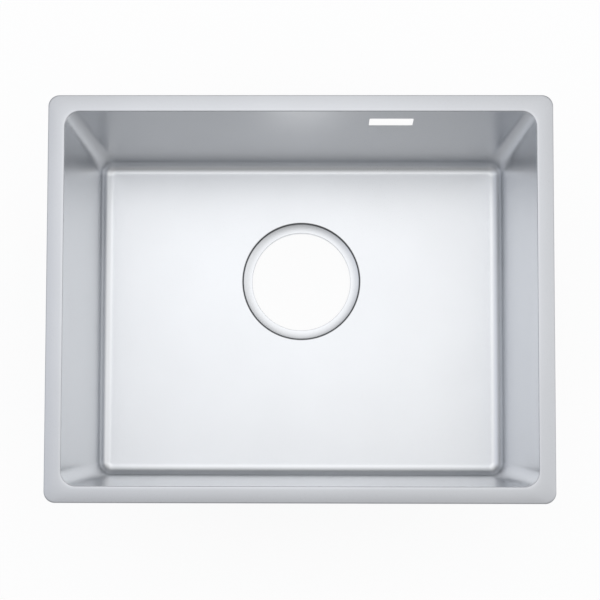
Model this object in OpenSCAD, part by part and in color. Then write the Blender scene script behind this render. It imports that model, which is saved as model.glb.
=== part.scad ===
// Single-bowl stainless steel kitchen sink: a pressed bowl welded into a folded rim,
// with its rim seal, sound pads and eight screw clamps that hook onto welded rails.
// Millimetres. +X is the user's right, +Y the back, +Z up. The origin is under the
// middle of the rim, on the surface that the drain's lip stands on.

/* [Bowl] */
// Length of the bowl's mouth, left to right
bowl_length = 504; // [440:4:700]
// Width of the bowl's mouth, front to back
bowl_width = 400; // [360:10:460]
// Depth from the rim's top face to the floor
bowl_depth = 190; // [180:5:230]
// Thickness of the bowl's sheet
sheet = 1; // [0.8:0.1:1.2]
// How far each wall leans in from the mouth to the cove
wall_draft = 12; // [8:0.5:15]
// Radius of the mouth's corners
mouth_corner = 16; // [12:1:24]
// Radius of the flat floor's corners
floor_corner = 3; // [2:1:8]
// Radius of the cove between wall and floor
cove = 13; // [9:1:16]

/* [Rim] */
// Width of the rim around the mouth
rim_width = 18; // [16:1:28]
// Thickness of the rim's sheet
rim_sheet = 1.2; // [1:0.1:1.4]
// Height of the rim's folded outer edge
rim_edge = 3; // [2.5:0.5:5]
// Radius of the rim's outer corners
rim_corner = 12; // [11:1:20]
// Radius over the folded outer edge
rim_round = 1.5; // [1.2:0.1:2]
// Width of the soft fall beside the mouth
dip_width = 8; // [4:1:10]
// How far that fall drops at the mouth
dip_fall = 0.6; // [0.3:0.1:0.8]

/* [Rim seal] */
// Width of the foam strip under the rim
seal_width = 6; // [4:0.5:8]
// Height of the foam strip
seal_height = 2.4; // [2:0.2:4]

/* [Drain] */
// Bore of the drain hole's lip
drain_bore = 118; // [110:2:124]
// Width across the pressed recess around the hole
recess_bore = 140; // [134:2:150]
// Drop from the floor to the recess's ledge
recess_fall = 3.5; // [3:0.5:5]
// How much the ledge falls towards the hole
ledge_fall = 0.5; // [0.3:0.1:1]
// Length of the straight lip
drain_lip = 5; // [4:0.5:8]
// How far the hole lies behind the bowl's middle
drain_back = 45; // [0:5:60]

/* [Overflow slot] */
// Length of the slot
overflow_length = 48; // [30:2:60]
// Height of the slot
overflow_height = 24; // [12:2:32]
// Distance from the rim's top face to the slot
overflow_drop = 24; // [20:1:30]
// Distance of the slot's middle to the right of the bowl's middle
overflow_right = 99; // [0:3:102]

/* [Sound pads] */
// Thickness of the pads
pad_thick = 2.5; // [2:0.5:3.5]
// Length of the pads on the front and back walls
long_pad_length = 260; // [180:10:280]
// Height of the pads on the front and back walls
long_pad_height = 70; // [50:5:75]
// Length of the pads on the side walls
side_pad_length = 190; // [140:10:200]
// Height of the pads on the side walls
side_pad_height = 50; // [30:5:60]
// Distance from the rim's top face to the wall pads
wall_pad_drop = 100; // [98:1:104]
// Length of the two side pads under the floor, front to back
floor_pad_length = 300; // [200:10:320]
// Distance of the floor pads from the drain's recess
floor_pad_clear = 14; // [8:2:20]
// Distance of the floor pads from the edge of the flat floor
floor_pad_margin = 15; // [8:1:25]

/* [Clamp rails] */
// Distance from the mouth's corner to a clamp on a long wall
long_clamp_inset = 72; // [60:2:80]
// Distance from the mouth's corner to a clamp on a side wall
side_clamp_inset = 90; // [60:5:90]
// Length of a rail
rail_length = 50; // [46:2:60]
// Thickness of a rail's sheet
rail_sheet = 0.8; // [0.6:0.1:1]
// Distance from the rim's top face to a rail's lip
rail_drop = 19; // [17:1:21]
// Height of a rail's lip
rail_lip = 8; // [7:0.5:10]
// Height of a rail's welded foot
rail_foot = 9; // [6:0.5:10]

/* [Clamps] */
// Thickness of a bracket's sheet
bracket_sheet = 1; // [0.8:0.1:1.2]
// Width of a bracket
bracket_width = 18; // [14:1:20]
// Height from a bracket's ear to the top of the rail's lip
bracket_height = 40; // [36:1:42]
// Radius of the pivot rivet's shank
rivet_radius = 2; // [1.5:0.1:2.2]
// Thickness of the swinging arm
arm_thick = 2; // [1.5:0.1:2.5]
// Distance from the arm's pivot to its screw
arm_reach = 24; // [22:1:26]
// Radius of the jack screw, an M5
screw_radius = 2.5; // [2:0.5:2.5]
// Radius of the toe that presses on the worktop
toe_radius = 4.5; // [4:0.1:4.5]
// Thickness of the toe
toe_thick = 2.4; // [2.2:0.1:3]
// How far the toe can rise
toe_rise = 24; // [12:1:24]

/* [Hidden] */
$fn = 64;
// Facets of the rounded pieces that a hull joins
hull_fn = 32;
// Film of glue or weld between a flat piece and the bowl
film = 0.05;
// Running clearance of a pin or a thread in its hole
running = 0.05;
// Play between pieces that slide past each other
play = 0.25;
// Reach of a cut past the sheet that it goes through
past = 5;
// Height of a disc that only marks the end of a rounded form
thin = 0.05;
// Radius of the drain lip's upper edge
lip_round = 1;
// Inner radius at the foot of the recess's step
recess_fillet = 1.5;
// Width of the flat band around the recess that is turned with it
recess_band = 3;
// Corner radius of the overflow slot
slot_corner = 2;
// Corner radius of the pads
pad_corner = 6;
// Gap between the foam strip and the folded edge
seal_gap = 0.3;
// Inner radius of the bracket's lower bend
ear_bend = 0.8;
// Height of the hook's foot above the rail's step
hook_foot_gap = 2;
// Height of a rivet's or screw's head
rivet_head = 1;
screw_head = 3.2;
// How far a head stands out beyond its shank
rivet_head_grow = 1.2;
screw_head_grow = 1.9;
// Depth and width of the screw's cross recess
cross_depth = 1.8;
cross_width = 1;
// Depth of the screw's neck in the toe, and how much thinner the neck is
neck_depth = 1.6;
neck_thinner = 0.9;
// Height of the toe's biting ridges, and their number
ridge_height = 0.8;
ridge_count = 3;
// Distance of the ridges' ends from the toe's edge
ridge_inset = 0.2;
// Length of the threaded boss under the arm
boss_length = 4;
// Thread that is left between the boss and the screw's head when the toe is up
spare_thread = 0.75;
// Wall of the boss and of the arm's eye around their holes
eye_wall = 2;

drain_r = drain_bore / 2;
recess_r = recess_bore / 2;
floor_z = drain_lip + lip_round + ledge_fall + recess_fall;
rim_z = floor_z + bowl_depth;
rim_under_z = rim_z - rim_sheet;
rim_length_out = bowl_length + 2 * rim_width;
rim_width_out = bowl_width + 2 * rim_width;
flat_half_length = bowl_length / 2 - wall_draft - cove;
flat_half_width = bowl_width / 2 - wall_draft - cove;
// The walls are flat from the mouth to the top of the cove
wall_lean = atan(wall_draft / (bowl_depth - cove));

// Where the sheets lie beside the wall: hook, rail lip, back plate, pivot
hook_x = film + play;
lip_x = hook_x + bracket_sheet + play;
plate_x = lip_x + rail_sheet + play;
ear_x = plate_x + bracket_sheet + ear_bend;
pivot_x = ear_x + rivet_radius + rivet_head_grow;
hook_bend = (plate_x - hook_x - bracket_sheet) / 2;
ear_r = rivet_radius + eye_wall;
arm_half = screw_radius + eye_wall;
neck_r = screw_radius - neck_thinner;
stop_y = arm_half + play + bracket_sheet;

// Heights on the wall, measured down from the rim's top face
lip_top_z = -rail_drop;
hook_bend_z = lip_top_z - play;
ear_z = lip_top_z - bracket_height;
arm_z = ear_z - bracket_sheet - play;
toe_z = arm_z + play;
head_z = toe_z - play - arm_thick - boss_length - toe_rise - spare_thread;

// Distance of a clamp from the middle of its wall
long_along = bowl_length / 2 - long_clamp_inset;
side_along = bowl_width / 2 - side_clamp_inset;

// Each clamp: its name, its wall and its place along that wall
CLAMPS = [
    ["front_left", "front", -long_along],
    ["front_right", "front", long_along],
    ["right_front", "right", -side_along],
    ["right_back", "right", side_along],
    ["back_right", "back", -long_along],
    ["back_left", "back", long_along],
    ["left_back", "left", -side_along],
    ["left_front", "left", side_along],
];
CLAMP_PIECES = ["rail", "bracket", "rivet", "arm", "toe", "screw"];

// An arc's points about (x, y), from one angle to another
function arc(x, y, r, from, to, steps = 6) =
    [for (i = [0:steps]) let (a = from + (to - from) * i / steps) [x + r * cos(a), y + r * sin(a)]];

// A wall's direction, and the distance from the bowl's middle to its mouth
function wall_turn(wall) = wall == "right" ? 0 : wall == "back" ? 90 : wall == "left" ? 180 : 270;
function wall_distance(wall) = (wall == "right" || wall == "left" ? bowl_length : bowl_width) / 2;

module rounded_rect(length, width, corner) {
    square([length - 2 * corner, width], center = true);
    square([length, width - 2 * corner], center = true);
    for (x = [-1, 1], y = [-1, 1])
        translate([x * (length / 2 - corner), y * (width / 2 - corner)]) circle(corner);
}

// Puts a piece at the four corners of a rectangle
module at_corners(half_length, half_width, z) {
    for (x = [-1, 1], y = [-1, 1])
        translate([x * half_length, y * half_width, z]) children();
}

// The outer half of a ring whose tube may be wider than the ring
module ring_tube(major, minor) {
    rotate_extrude($fn = hull_fn) intersection() {
        translate([major, 0]) circle(minor, $fn = hull_fn);
        translate([0, -minor]) square([major + minor, 2 * minor]);
    }
}

// Stands a piece on a wall's outer face: x outwards, y along the wall, z up the wall from the rim
module on_wall(wall) {
    rotate([0, 0, wall_turn(wall)])
        translate([wall_distance(wall) + sheet, 0, rim_z])
            rotate([0, wall_lean, 0]) children();
}

// The bowl's form from mouth to floor, with the walls moved out by grow
module bowl_form(grow) {
    hull() {
        at_corners(bowl_length / 2 - mouth_corner, bowl_width / 2 - mouth_corner, rim_z)
            cylinder(h = past, r = mouth_corner + grow, $fn = hull_fn);
        at_corners(flat_half_length - floor_corner, flat_half_width - floor_corner, floor_z + cove)
            ring_tube(floor_corner, cove + grow);
    }
}

// The pressed recess and the drain's lip, as one turned section of the sheet
module drain_recess() {
    ledge_z = floor_z - recess_fall;
    lip_z = ledge_z - ledge_fall - lip_round;
    top = concat(
        [[recess_r + recess_band, floor_z]],
        arc(recess_r + sheet, floor_z - sheet, sheet, 90, 180),
        arc(recess_r - recess_fillet, ledge_z + recess_fillet, recess_fillet, 0, -90),
        arc(drain_r + lip_round, lip_z, lip_round, 90, 180)
    );
    under = concat(
        [[drain_r, 0], [drain_r + sheet, 0], [drain_r + sheet, lip_z + lip_round - sheet]],
        arc(recess_r - recess_fillet, ledge_z + recess_fillet, recess_fillet + sheet, -90, 0),
        [[recess_r + sheet, floor_z - sheet], [recess_r + recess_band, floor_z - sheet]]
    );
    translate([0, drain_back, 0]) rotate_extrude() polygon(concat(top, under));
}

module bowl() {
    color("gainsboro") {
        difference() {
            bowl_form(sheet);
            bowl_form(0);
            translate([0, 0, rim_under_z + past])
                cube([2 * bowl_length, 2 * bowl_width, 2 * past], center = true);
            translate([0, drain_back, floor_z - past])
                cylinder(h = 2 * past, r = recess_r + recess_band);
            translate([overflow_right, bowl_width / 2 + past, rim_z - overflow_drop - overflow_height / 2])
                rotate([90, 0, 0]) linear_extrude(wall_draft + 2 * past)
                    rounded_rect(overflow_length, overflow_height, slot_corner);
        }
        drain_recess();
    }
}

// The rim: a flat frame with a folded outer edge and a soft fall towards the mouth
module rim_frame() {
    color("lightgray") difference() {
        hull() {
            at_corners(rim_length_out / 2 - rim_corner, rim_width_out / 2 - rim_corner, rim_z - rim_round)
                ring_tube(rim_corner - rim_round, rim_round);
            at_corners(rim_length_out / 2 - rim_corner, rim_width_out / 2 - rim_corner, rim_z - rim_edge)
                cylinder(h = (rim_edge - rim_round) / 2, r = rim_corner, $fn = hull_fn);
        }
        hull() {
            at_corners(bowl_length / 2 - mouth_corner, bowl_width / 2 - mouth_corner, rim_z)
                cylinder(h = past, r = mouth_corner + dip_width, $fn = hull_fn);
            at_corners(bowl_length / 2 - mouth_corner, bowl_width / 2 - mouth_corner, rim_z - dip_fall)
                cylinder(h = thin, r = mouth_corner, $fn = hull_fn);
        }
        translate([0, 0, rim_under_z - past])
            linear_extrude(2 * past) rounded_rect(bowl_length, bowl_width, mouth_corner);
        translate([0, 0, rim_under_z - past]) linear_extrude(past) inset_outline(rim_sheet);
    }
}

// The rim's outline, drawn in
module inset_outline(inset) {
    rounded_rect(rim_length_out - 2 * inset, rim_width_out - 2 * inset, rim_corner - inset);
}

module rim_seal() {
    color("dimgray") translate([0, 0, rim_under_z - seal_height]) linear_extrude(seal_height)
        difference() {
            inset_outline(rim_sheet + seal_gap);
            inset_outline(rim_sheet + seal_gap + seal_width);
        }
}

// A pad under the floor, between two corners of its outline
module floor_pad(low, high) {
    color("darkslategray")
        translate([(low[0] + high[0]) / 2, (low[1] + high[1]) / 2, floor_z - sheet - film - pad_thick])
            linear_extrude(pad_thick) rounded_rect(high[0] - low[0], high[1] - low[1], pad_corner);
}

// The pad beside the recess, to the right of it where side is 1 and to the left where it is -1
module side_floor_pad(side) {
    inner = recess_r + floor_pad_clear;
    outer = flat_half_length - floor_pad_margin;
    floor_pad(
        [min(side * inner, side * outer), -floor_pad_length / 2],
        [max(side * inner, side * outer), floor_pad_length / 2]
    );
}

module front_floor_pad() {
    floor_pad(
        [-recess_r, floor_pad_margin - flat_half_width],
        [recess_r, drain_back - recess_r - floor_pad_clear]
    );
}

module wall_pad(wall, length, height) {
    color("darkslategray") on_wall(wall)
        translate([film, 0, -wall_pad_drop - height / 2])
            rotate([0, 90, 0]) linear_extrude(pad_thick) rounded_rect(height, length, pad_corner);
}

// A rail: a welded foot, a step outwards and a lip that stands clear of the wall
module rail() {
    lip_foot_z = lip_top_z - rail_lip;
    step = lip_x - film;
    color("silver") rotate([90, 0, 0]) linear_extrude(rail_length, center = true) polygon([
        [lip_x, lip_top_z],
        [lip_x, lip_foot_z],
        [film, lip_foot_z - step],
        [film, lip_foot_z - step - rail_foot],
        [film + rail_sheet, lip_foot_z - step - rail_foot],
        [film + rail_sheet, lip_foot_z - step - rail_sheet / 2],
        [lip_x + rail_sheet, lip_foot_z - rail_sheet / 2],
        [lip_x + rail_sheet, lip_top_z],
    ]);
}

// A bend in the bracket's sheet: the part of a ring that lies in a rectangle
module bent_sheet(inner, corner, size) {
    intersection() {
        difference() {
            circle(inner + bracket_sheet);
            circle(inner);
        }
        translate(corner) square(size);
    }
}

// A bracket: hooked over the rail's lip, with an ear for the pivot at its foot.
// The tab that hangs from the ear stops the arm when it stands square to the wall
module bracket() {
    hook_end_z = lip_top_z - rail_lip + hook_foot_gap;
    hook_outer = hook_bend + bracket_sheet;
    ear_outer = ear_bend + bracket_sheet;
    color("lightsteelblue") difference() {
        union() {
            rotate([90, 0, 0]) linear_extrude(bracket_width, center = true) {
                translate([hook_x + bracket_sheet + hook_bend, hook_bend_z])
                    bent_sheet(hook_bend, [-hook_outer, 0], [2 * hook_outer, hook_outer]);
                translate([hook_x, hook_end_z]) square([bracket_sheet, hook_bend_z - hook_end_z]);
                translate([plate_x, ear_z + ear_bend])
                    square([bracket_sheet, hook_bend_z - ear_z - ear_bend]);
            }
            rotate([90, 0, 0]) linear_extrude(2 * stop_y, center = true) {
                translate([ear_x, ear_z + ear_bend])
                    bent_sheet(ear_bend, [-ear_outer, -ear_outer], [ear_outer, ear_outer]);
                translate([ear_x, ear_z - bracket_sheet]) square([pivot_x + ear_r - ear_x, bracket_sheet]);
            }
            translate([ear_x, stop_y - bracket_sheet, arm_z - arm_thick])
                cube([pivot_x + ear_r - ear_x, bracket_sheet, arm_thick + play + bracket_sheet / 2]);
        }
        translate([pivot_x, 0, ear_z - past]) cylinder(h = 2 * past, r = rivet_radius + running / 2);
    }
}

module rivet() {
    head_r = rivet_radius + rivet_head_grow;
    low_z = arm_z - arm_thick - play;
    color("gray") translate([pivot_x, 0, 0]) {
        translate([0, 0, low_z]) cylinder(h = ear_z - low_z, r = rivet_radius);
        translate([0, 0, ear_z]) cylinder(h = rivet_head, r = head_r);
        translate([0, 0, low_z - rivet_head]) cylinder(h = rivet_head, r = head_r);
    }
}

// The arm: an eye on the rivet, and a threaded boss for the screw. It is stowed along the wall
module arm() {
    color("slategray") translate([pivot_x, 0, 0]) difference() {
        union() {
            translate([0, 0, arm_z - arm_thick]) linear_extrude(arm_thick) {
                circle(arm_half);
                translate([0, -arm_reach]) circle(arm_half);
                translate([-arm_half, -arm_reach]) square([2 * arm_half, arm_reach]);
            }
            translate([0, -arm_reach, arm_z - arm_thick - boss_length])
                cylinder(h = boss_length, r = arm_half);
        }
        translate([0, 0, arm_z - arm_thick - past])
            cylinder(h = arm_thick + 2 * past, r = rivet_radius + running);
        translate([0, -arm_reach, arm_z - arm_thick - boss_length - past])
            cylinder(h = arm_thick + boss_length + 2 * past, r = screw_radius + running);
    }
}

// The toe: a disc with biting ridges that turns on the screw's neck
module toe() {
    ridge_pitch = 2 * toe_radius / (ridge_count + 1);
    color("slategray") translate([pivot_x, -arm_reach, toe_z]) {
        difference() {
            cylinder(h = toe_thick, r = toe_radius);
            translate([0, 0, -past]) cylinder(h = past + neck_depth + running, r = neck_r + running);
        }
        for (i = [1:ridge_count]) ridge(i * ridge_pitch - toe_radius);
    }
}

// One ridge across the toe, a straight prism that stays inside the disc's edge
module ridge(x) {
    half = ridge_height / 2;
    half_length = sqrt(pow(toe_radius - ridge_inset, 2) - pow(abs(x) + half, 2));
    translate([x, 0, toe_thick]) rotate([90, 0, 0]) linear_extrude(2 * half_length, center = true)
        polygon([[-half, -half], [half, -half], [half, 0], [0, ridge_height], [-half, 0]]);
}

// The jack screw: a cross-recessed head below, the thread, and a neck in the toe
module screw() {
    color("silver") translate([pivot_x, -arm_reach, 0]) {
        difference() {
            union() {
                translate([0, 0, head_z]) cylinder(h = toe_z - head_z - running, r = screw_radius);
                translate([0, 0, head_z]) cylinder(h = toe_z - head_z + neck_depth, r = neck_r);
                translate([0, 0, head_z - screw_head])
                    cylinder(h = screw_head, r = screw_radius + screw_head_grow);
            }
            for (turn = [0, 90]) translate([0, 0, head_z - screw_head]) rotate([0, 0, turn])
                cube([2 * screw_radius, cross_width, 2 * cross_depth], center = true);
        }
    }
}

module clamp_piece(piece) {
    if (piece == "rail") rail();
    if (piece == "bracket") bracket();
    if (piece == "rivet") rivet();
    if (piece == "arm") arm();
    if (piece == "toe") toe();
    if (piece == "screw") screw();
}

bowl();
rim_frame();
rim_seal();
side_floor_pad(-1);  // floor_pad_left
side_floor_pad(1);  // floor_pad_right
front_floor_pad();  // floor_pad_front
wall_pad("front", long_pad_length, long_pad_height);  // wall_pad_front
wall_pad("back", long_pad_length, long_pad_height);  // wall_pad_back
wall_pad("left", side_pad_length, side_pad_height);  // wall_pad_left
wall_pad("right", side_pad_length, side_pad_height);  // wall_pad_right
for (clamp = CLAMPS) for (piece = CLAMP_PIECES)
    on_wall(clamp[1]) translate([0, clamp[2], 0]) clamp_piece(piece);
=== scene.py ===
"""Kitchen sink, single bowl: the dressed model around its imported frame.

Sizes are in metres in the frame's own axes: +X to the user's right, +Y to the back, +Z up, with the
origin under the middle of the rim on the surface that the drain's lip stands on.
"""
import math

import bmesh
import bpy
import numpy as np
from bpy.props import FloatProperty, FloatVectorProperty, PointerProperty
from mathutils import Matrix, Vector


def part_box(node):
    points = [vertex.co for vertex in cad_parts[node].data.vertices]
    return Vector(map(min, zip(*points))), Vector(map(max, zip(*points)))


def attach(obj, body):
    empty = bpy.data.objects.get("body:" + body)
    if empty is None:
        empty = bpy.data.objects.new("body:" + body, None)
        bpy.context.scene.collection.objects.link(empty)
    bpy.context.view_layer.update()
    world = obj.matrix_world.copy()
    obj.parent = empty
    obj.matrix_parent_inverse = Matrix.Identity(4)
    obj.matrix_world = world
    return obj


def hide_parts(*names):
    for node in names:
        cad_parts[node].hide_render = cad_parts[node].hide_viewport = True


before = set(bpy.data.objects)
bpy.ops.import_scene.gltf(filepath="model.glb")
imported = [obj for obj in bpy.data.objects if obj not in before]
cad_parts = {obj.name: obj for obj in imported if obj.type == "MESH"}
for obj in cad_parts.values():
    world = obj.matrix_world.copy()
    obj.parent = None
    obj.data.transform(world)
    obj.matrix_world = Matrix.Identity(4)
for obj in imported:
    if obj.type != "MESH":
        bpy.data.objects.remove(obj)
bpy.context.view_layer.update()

bl_info = {
    "name": "Single-bowl kitchen sink",
    "version": (1, 0, 0),
    "blender": (4, 5, 0),
    "location": "View3D > Sidebar > Sink",
    "description": "Builds a stainless inset sink with its seal, sound pads and screw clamps",
    "category": "Add Mesh",
}

MM = 0.001
# Steps of an arc: the cove between wall and floor, a corner seen from above, a bend of the drain's section
COVE_STEPS = 18
CORNER_STEPS = 14
BEND_STEPS = 9
# Place of the rows beside a corner, as a share of half a side: they keep the flats flat
NEAR = 0.006
# Gaps in mm: a welded or glued piece's film, and the play of a moving piece
FILM, PLAY = 0.05, 0.25

# Walls of the bowl: a turn about +Z in degrees, for a wall that faces +X at 0
WALL_TURNS = {"right": 0, "back": 90, "left": 180, "front": 270}
# Clamps: name, wall and place along that wall in mm
CLAMPS = [
    ("front_left", "front", -180),
    ("front_right", "front", 180),
    ("right_front", "right", -110),
    ("right_back", "right", 110),
    ("back_right", "back", -180),
    ("back_left", "back", 180),
    ("left_back", "left", -110),
    ("left_front", "left", 110),
]


def linear(code):
    """A colour in linear light from sRGB hex, by the sRGB curve: c / 12.92 up to 0.04045, else
    ((c + 0.055) / 1.055) ^ 2.4."""
    values = np.array([int(code[i:i + 2], 16) for i in (1, 3, 5)]) / 255
    bent = np.where(values <= 0.04045, values / 12.92, ((values + 0.055) / 1.055) ** 2.4)
    return tuple(float(v) for v in bent)


# Sizes and colours

def length(name, description, mm):
    """A length property, given in mm and kept in metres."""
    return FloatProperty(name=name, description=description, default=mm * MM, min=0, unit="LENGTH",
                         subtype="DISTANCE")


def colour(name, description, code):
    """A colour property, given as sRGB hex and kept in linear light."""
    return FloatVectorProperty(name=name, description=description, default=linear(code), size=3, min=0, max=1,
                               subtype="COLOR")


class SinkBowlSettings(bpy.types.PropertyGroup):
    """Sizes and colours of the pressed bowl."""
    length: length("Length", "Length of the mouth, left to right", 504)
    width: length("Width", "Width of the mouth, front to back", 400)
    rim_height: length("Rim height", "Height of the rim's top face", 200)
    floor_height: length("Floor height", "Height of the bowl's floor", 10)
    sheet: length("Sheet", "Thickness of the bowl's sheet", 1)
    draft: length("Draft", "How far a wall leans in down to the cove", 12)
    mouth_corner: length("Mouth corner", "Radius of the mouth's corners", 16)
    floor_corner: length("Floor corner", "Radius of the flat floor's corners", 3)
    cove: length("Cove", "Radius between wall and floor", 13)
    drain_back: length("Drain place", "Distance of the drain behind the middle", 45)
    drain_radius: length("Drain radius", "Radius inside the drain's lip", 59)
    recess_radius: length("Recess radius", "Radius of the pressed recess around the drain", 70)
    ledge_height: length("Ledge height", "Height of the recess's ledge at its foot", 6.5)
    ledge_fall: length("Ledge fall", "How much the ledge falls towards the hole", 0.5)
    step_slope: FloatProperty(name="Step slope", description="Steepest slope of the recess's step",
                              default=math.radians(66), min=0, subtype="ANGLE", unit="ROTATION")
    dish_slope: FloatProperty(name="Dish slope", description="Slope of the recess at the foot of its step",
                              default=math.radians(21), min=0, subtype="ANGLE", unit="ROTATION")
    step_hollow: length("Step hollow", "Radius at the foot of the recess's step", 1.4)
    slot_place: length("Slot place", "Distance of the overflow slot right of the middle", 99)
    slot_length: length("Slot length", "Length of the overflow slot", 48)
    slot_height: length("Slot height", "Height of the overflow slot", 24)
    slot_top: length("Slot top", "Height of the slot's upper edge", 176)
    slot_corner: length("Slot corner", "Radius of the slot's corners", 2)
    steel: colour("Steel", "Colour of the satin steel", "#e3e5e8")


class SinkRimSettings(bpy.types.PropertyGroup):
    """Sizes and colours of the rim and its seal."""
    width: length("Width", "Width of the rim around the mouth", 18)
    sheet: length("Sheet", "Thickness of the rim's sheet", 1.2)
    edge: length("Edge", "Height of the folded outer edge", 3)
    corner: length("Corner", "Radius of the outer corners", 12)
    roundness: length("Edge radius", "Radius over the folded outer edge", 1.4)
    crest: length("Crest", "Distance of the crown's crest from the outer edge", 15)
    outer_fall: length("Outer fall", "How far the crown falls to the outer edge", 0.75)
    inner_fall: length("Inner fall", "How far the crown falls to the mouth", 0.25)
    seal_gap: length("Seal gap", "Gap between the seal and the folded edge", 0.3)
    seal_width: length("Seal width", "Width of the foam seal", 6)
    seal_height: length("Seal height", "Height of the foam seal", 2.4)
    # Painted shade: the bowl's satin steel (#e3e5e8) at a darker base colour, so that the rim reads darker
    steel: colour("Steel", "Colour of the rim's steel", "#cbcdd1")
    foam: colour("Foam", "Colour of the foam seal", "#2b2c2f")


class SinkFittingSettings(bpy.types.PropertyGroup):
    """Sizes and colours of the pads and clamps."""
    pad_sheet: length("Pad", "Thickness of a sound pad", 2.5)
    pad_corner: length("Pad corner", "Radius of a pad's corners", 6)
    rail_sheet: length("Rail sheet", "Thickness of a clamp rail", 0.8)
    rail_length: length("Rail length", "Length of a clamp rail", 50)
    bracket_sheet: length("Bracket sheet", "Thickness of a bracket", 1)
    bracket_width: length("Bracket width", "Width of a bracket", 18)
    arm_sheet: length("Arm", "Thickness of a swinging arm", 2)
    arm_reach: length("Arm reach", "Distance from the rivet to the jack screw", 24)
    thread_pitch: length("Thread pitch", "Rise of the screw's thread in a turn", 0.8)
    pad_colour: colour("Pads", "Colour of the sound pads", "#5a5d61")
    zinc: colour("Zinc", "Colour of the zinc plate", "#c9ccd2")


class SinkStageSettings(bpy.types.PropertyGroup):
    """The studio around the sink."""
    lens: FloatProperty(name="Lens", description="Focal length of the camera", default=80, min=1,
                        unit="CAMERA")
    tent: FloatProperty(name="Light tent", description="Strength of the light tent", default=1.0, min=0)
    floor: colour("Floor", "Colour of the studio floor", "#f7f7f8")


# Surfaces

def loop(along_x, along_y, arc_steps):
    """A rounded rectangle's loop, anticlockwise from the front end of the right side.

    Gives each point's place on the rectangle of corner centres, from -1 to 1 each way, and its outward
    direction. A point of the outline is its place times the half sizes less the radius, plus the radius
    times its direction. along_x and along_y are the places on the long and the short sides, from -1 to 1.
    """
    turn = np.linspace(0, np.pi / 2, arc_steps + 1)[1:-1]
    places, turns = [], []
    sides = [(along_y, lambda t: (np.ones_like(t), t)), (along_x[::-1], lambda t: (t, np.ones_like(t))),
             (along_y[::-1], lambda t: (-np.ones_like(t), t)), (along_x, lambda t: (t, -np.ones_like(t)))]
    corners = [(1, 1), (-1, 1), (-1, -1), (1, -1)]
    for quarter, ((t, place), corner) in enumerate(zip(sides, corners)):
        places += [np.stack(place(t), 1), np.tile(np.array(corner, float), (len(turn), 1))]
        turns += [np.full(len(t), quarter * np.pi / 2), turn + quarter * np.pi / 2]
    turns = np.concatenate(turns)
    return np.concatenate(places), np.stack([np.cos(turns), np.sin(turns)], 1)


def lofted(place, direction, centre_x, centre_y, radius, height):
    """Rounded rectangles stacked up: row by row, place times the corner centres plus radius times direction,
    at each height."""
    radius = np.asarray(radius)[:, None]
    x = place[None, :, 0] * np.asarray(centre_x)[:, None] + direction[None, :, 0] * radius
    y = place[None, :, 1] * np.asarray(centre_y)[:, None] + direction[None, :, 1] * radius
    z = np.broadcast_to(np.asarray(height, float)[:, None], x.shape)
    return np.stack([x, y, z], 2)


def turned(radius, height, steps, x=0.0, y=0.0):
    """A profile turned about a vertical axis through (x, y): x + r cos(a), y + r sin(a), z, row by row."""
    angle = np.linspace(0, 2 * np.pi, steps, endpoint=False)
    radius, height = np.asarray(radius, float)[:, None], np.asarray(height, float)[:, None]
    return np.stack([x + radius * np.cos(angle), y + radius * np.sin(angle), height + 0 * angle], 2)


def arc(x, y, radius, start, end, steps):
    """An arc's points, steps + 1 of them: centre plus radius times (cos, sin) of an angle in degrees."""
    angle = np.radians(np.linspace(start, end, steps + 1))
    return np.stack([x + radius * np.cos(angle), y + radius * np.sin(angle)], 1)


def shut(ring, axis, steps=1):
    """Closes a flat ring of points with a grid that runs to its middle line: each point goes to its own place
    along the longer axis, held back from the line's ends by half the ring's width."""
    low, high = ring.min(0), ring.max(0)
    others = np.delete((high - low) / 2, axis)
    hold = max((high - low)[axis] / 2 - np.linalg.norm(others), 0)
    middle = np.tile((low + high) / 2, (len(ring), 1))
    middle[:, axis] += np.clip(ring[:, axis] - middle[:, axis], -hold, hold)
    share = np.linspace(0, 1, steps + 1)[:, None, None]
    return ring * (1 - share) + middle * share


def quads(rows, columns, closed, first):
    """The faces of a grid of points, row by row; closed joins the last column to the first."""
    spans = columns if closed else columns - 1
    r, c = np.meshgrid(np.arange(rows - 1), np.arange(spans), indexing="ij")
    n = (c + 1) % columns
    faces = np.stack([r * columns + c, r * columns + n, (r + 1) * columns + n, (r + 1) * columns + c], 2)
    return faces.reshape(-1, 4) + first


def piece(name, patches, body, material, replaces, sharp=32):
    """Joins grid patches into one closed mesh, with its faces outwards, and seats it in the frame.

    A patch is (points, closed): points on a grid, and whether its columns run round. Edges that bend by more
    than sharp degrees are shaded as edges.
    """
    points, faces, first = [], [], 0
    for grid, closed in patches:
        points.append(grid.reshape(-1, 3))
        faces.append(quads(grid.shape[0], grid.shape[1], closed, first))
        first += grid.shape[0] * grid.shape[1]
    mesh = bpy.data.meshes.new(name)
    mesh.from_pydata(np.concatenate(points).tolist(), [], np.concatenate(faces).tolist())
    work = bmesh.new()
    work.from_mesh(mesh)
    bmesh.ops.remove_doubles(work, verts=work.verts, dist=2e-6)
    bmesh.ops.dissolve_degenerate(work, edges=work.edges, dist=1e-6)
    bmesh.ops.recalc_face_normals(work, faces=work.faces)
    open_edges = sum(not e.is_manifold for e in work.edges)
    work.to_mesh(mesh)
    work.free()
    if open_edges:
        raise RuntimeError(f"{name} has {open_edges} open edges")
    mesh.shade_smooth()
    mesh.set_sharp_from_angle(angle=math.radians(sharp))
    mesh.materials.append(material)
    made = bpy.data.objects.new(name, mesh)
    bpy.context.scene.collection.objects.link(made)
    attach(made, body)
    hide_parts(replaces)
    return made


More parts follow.
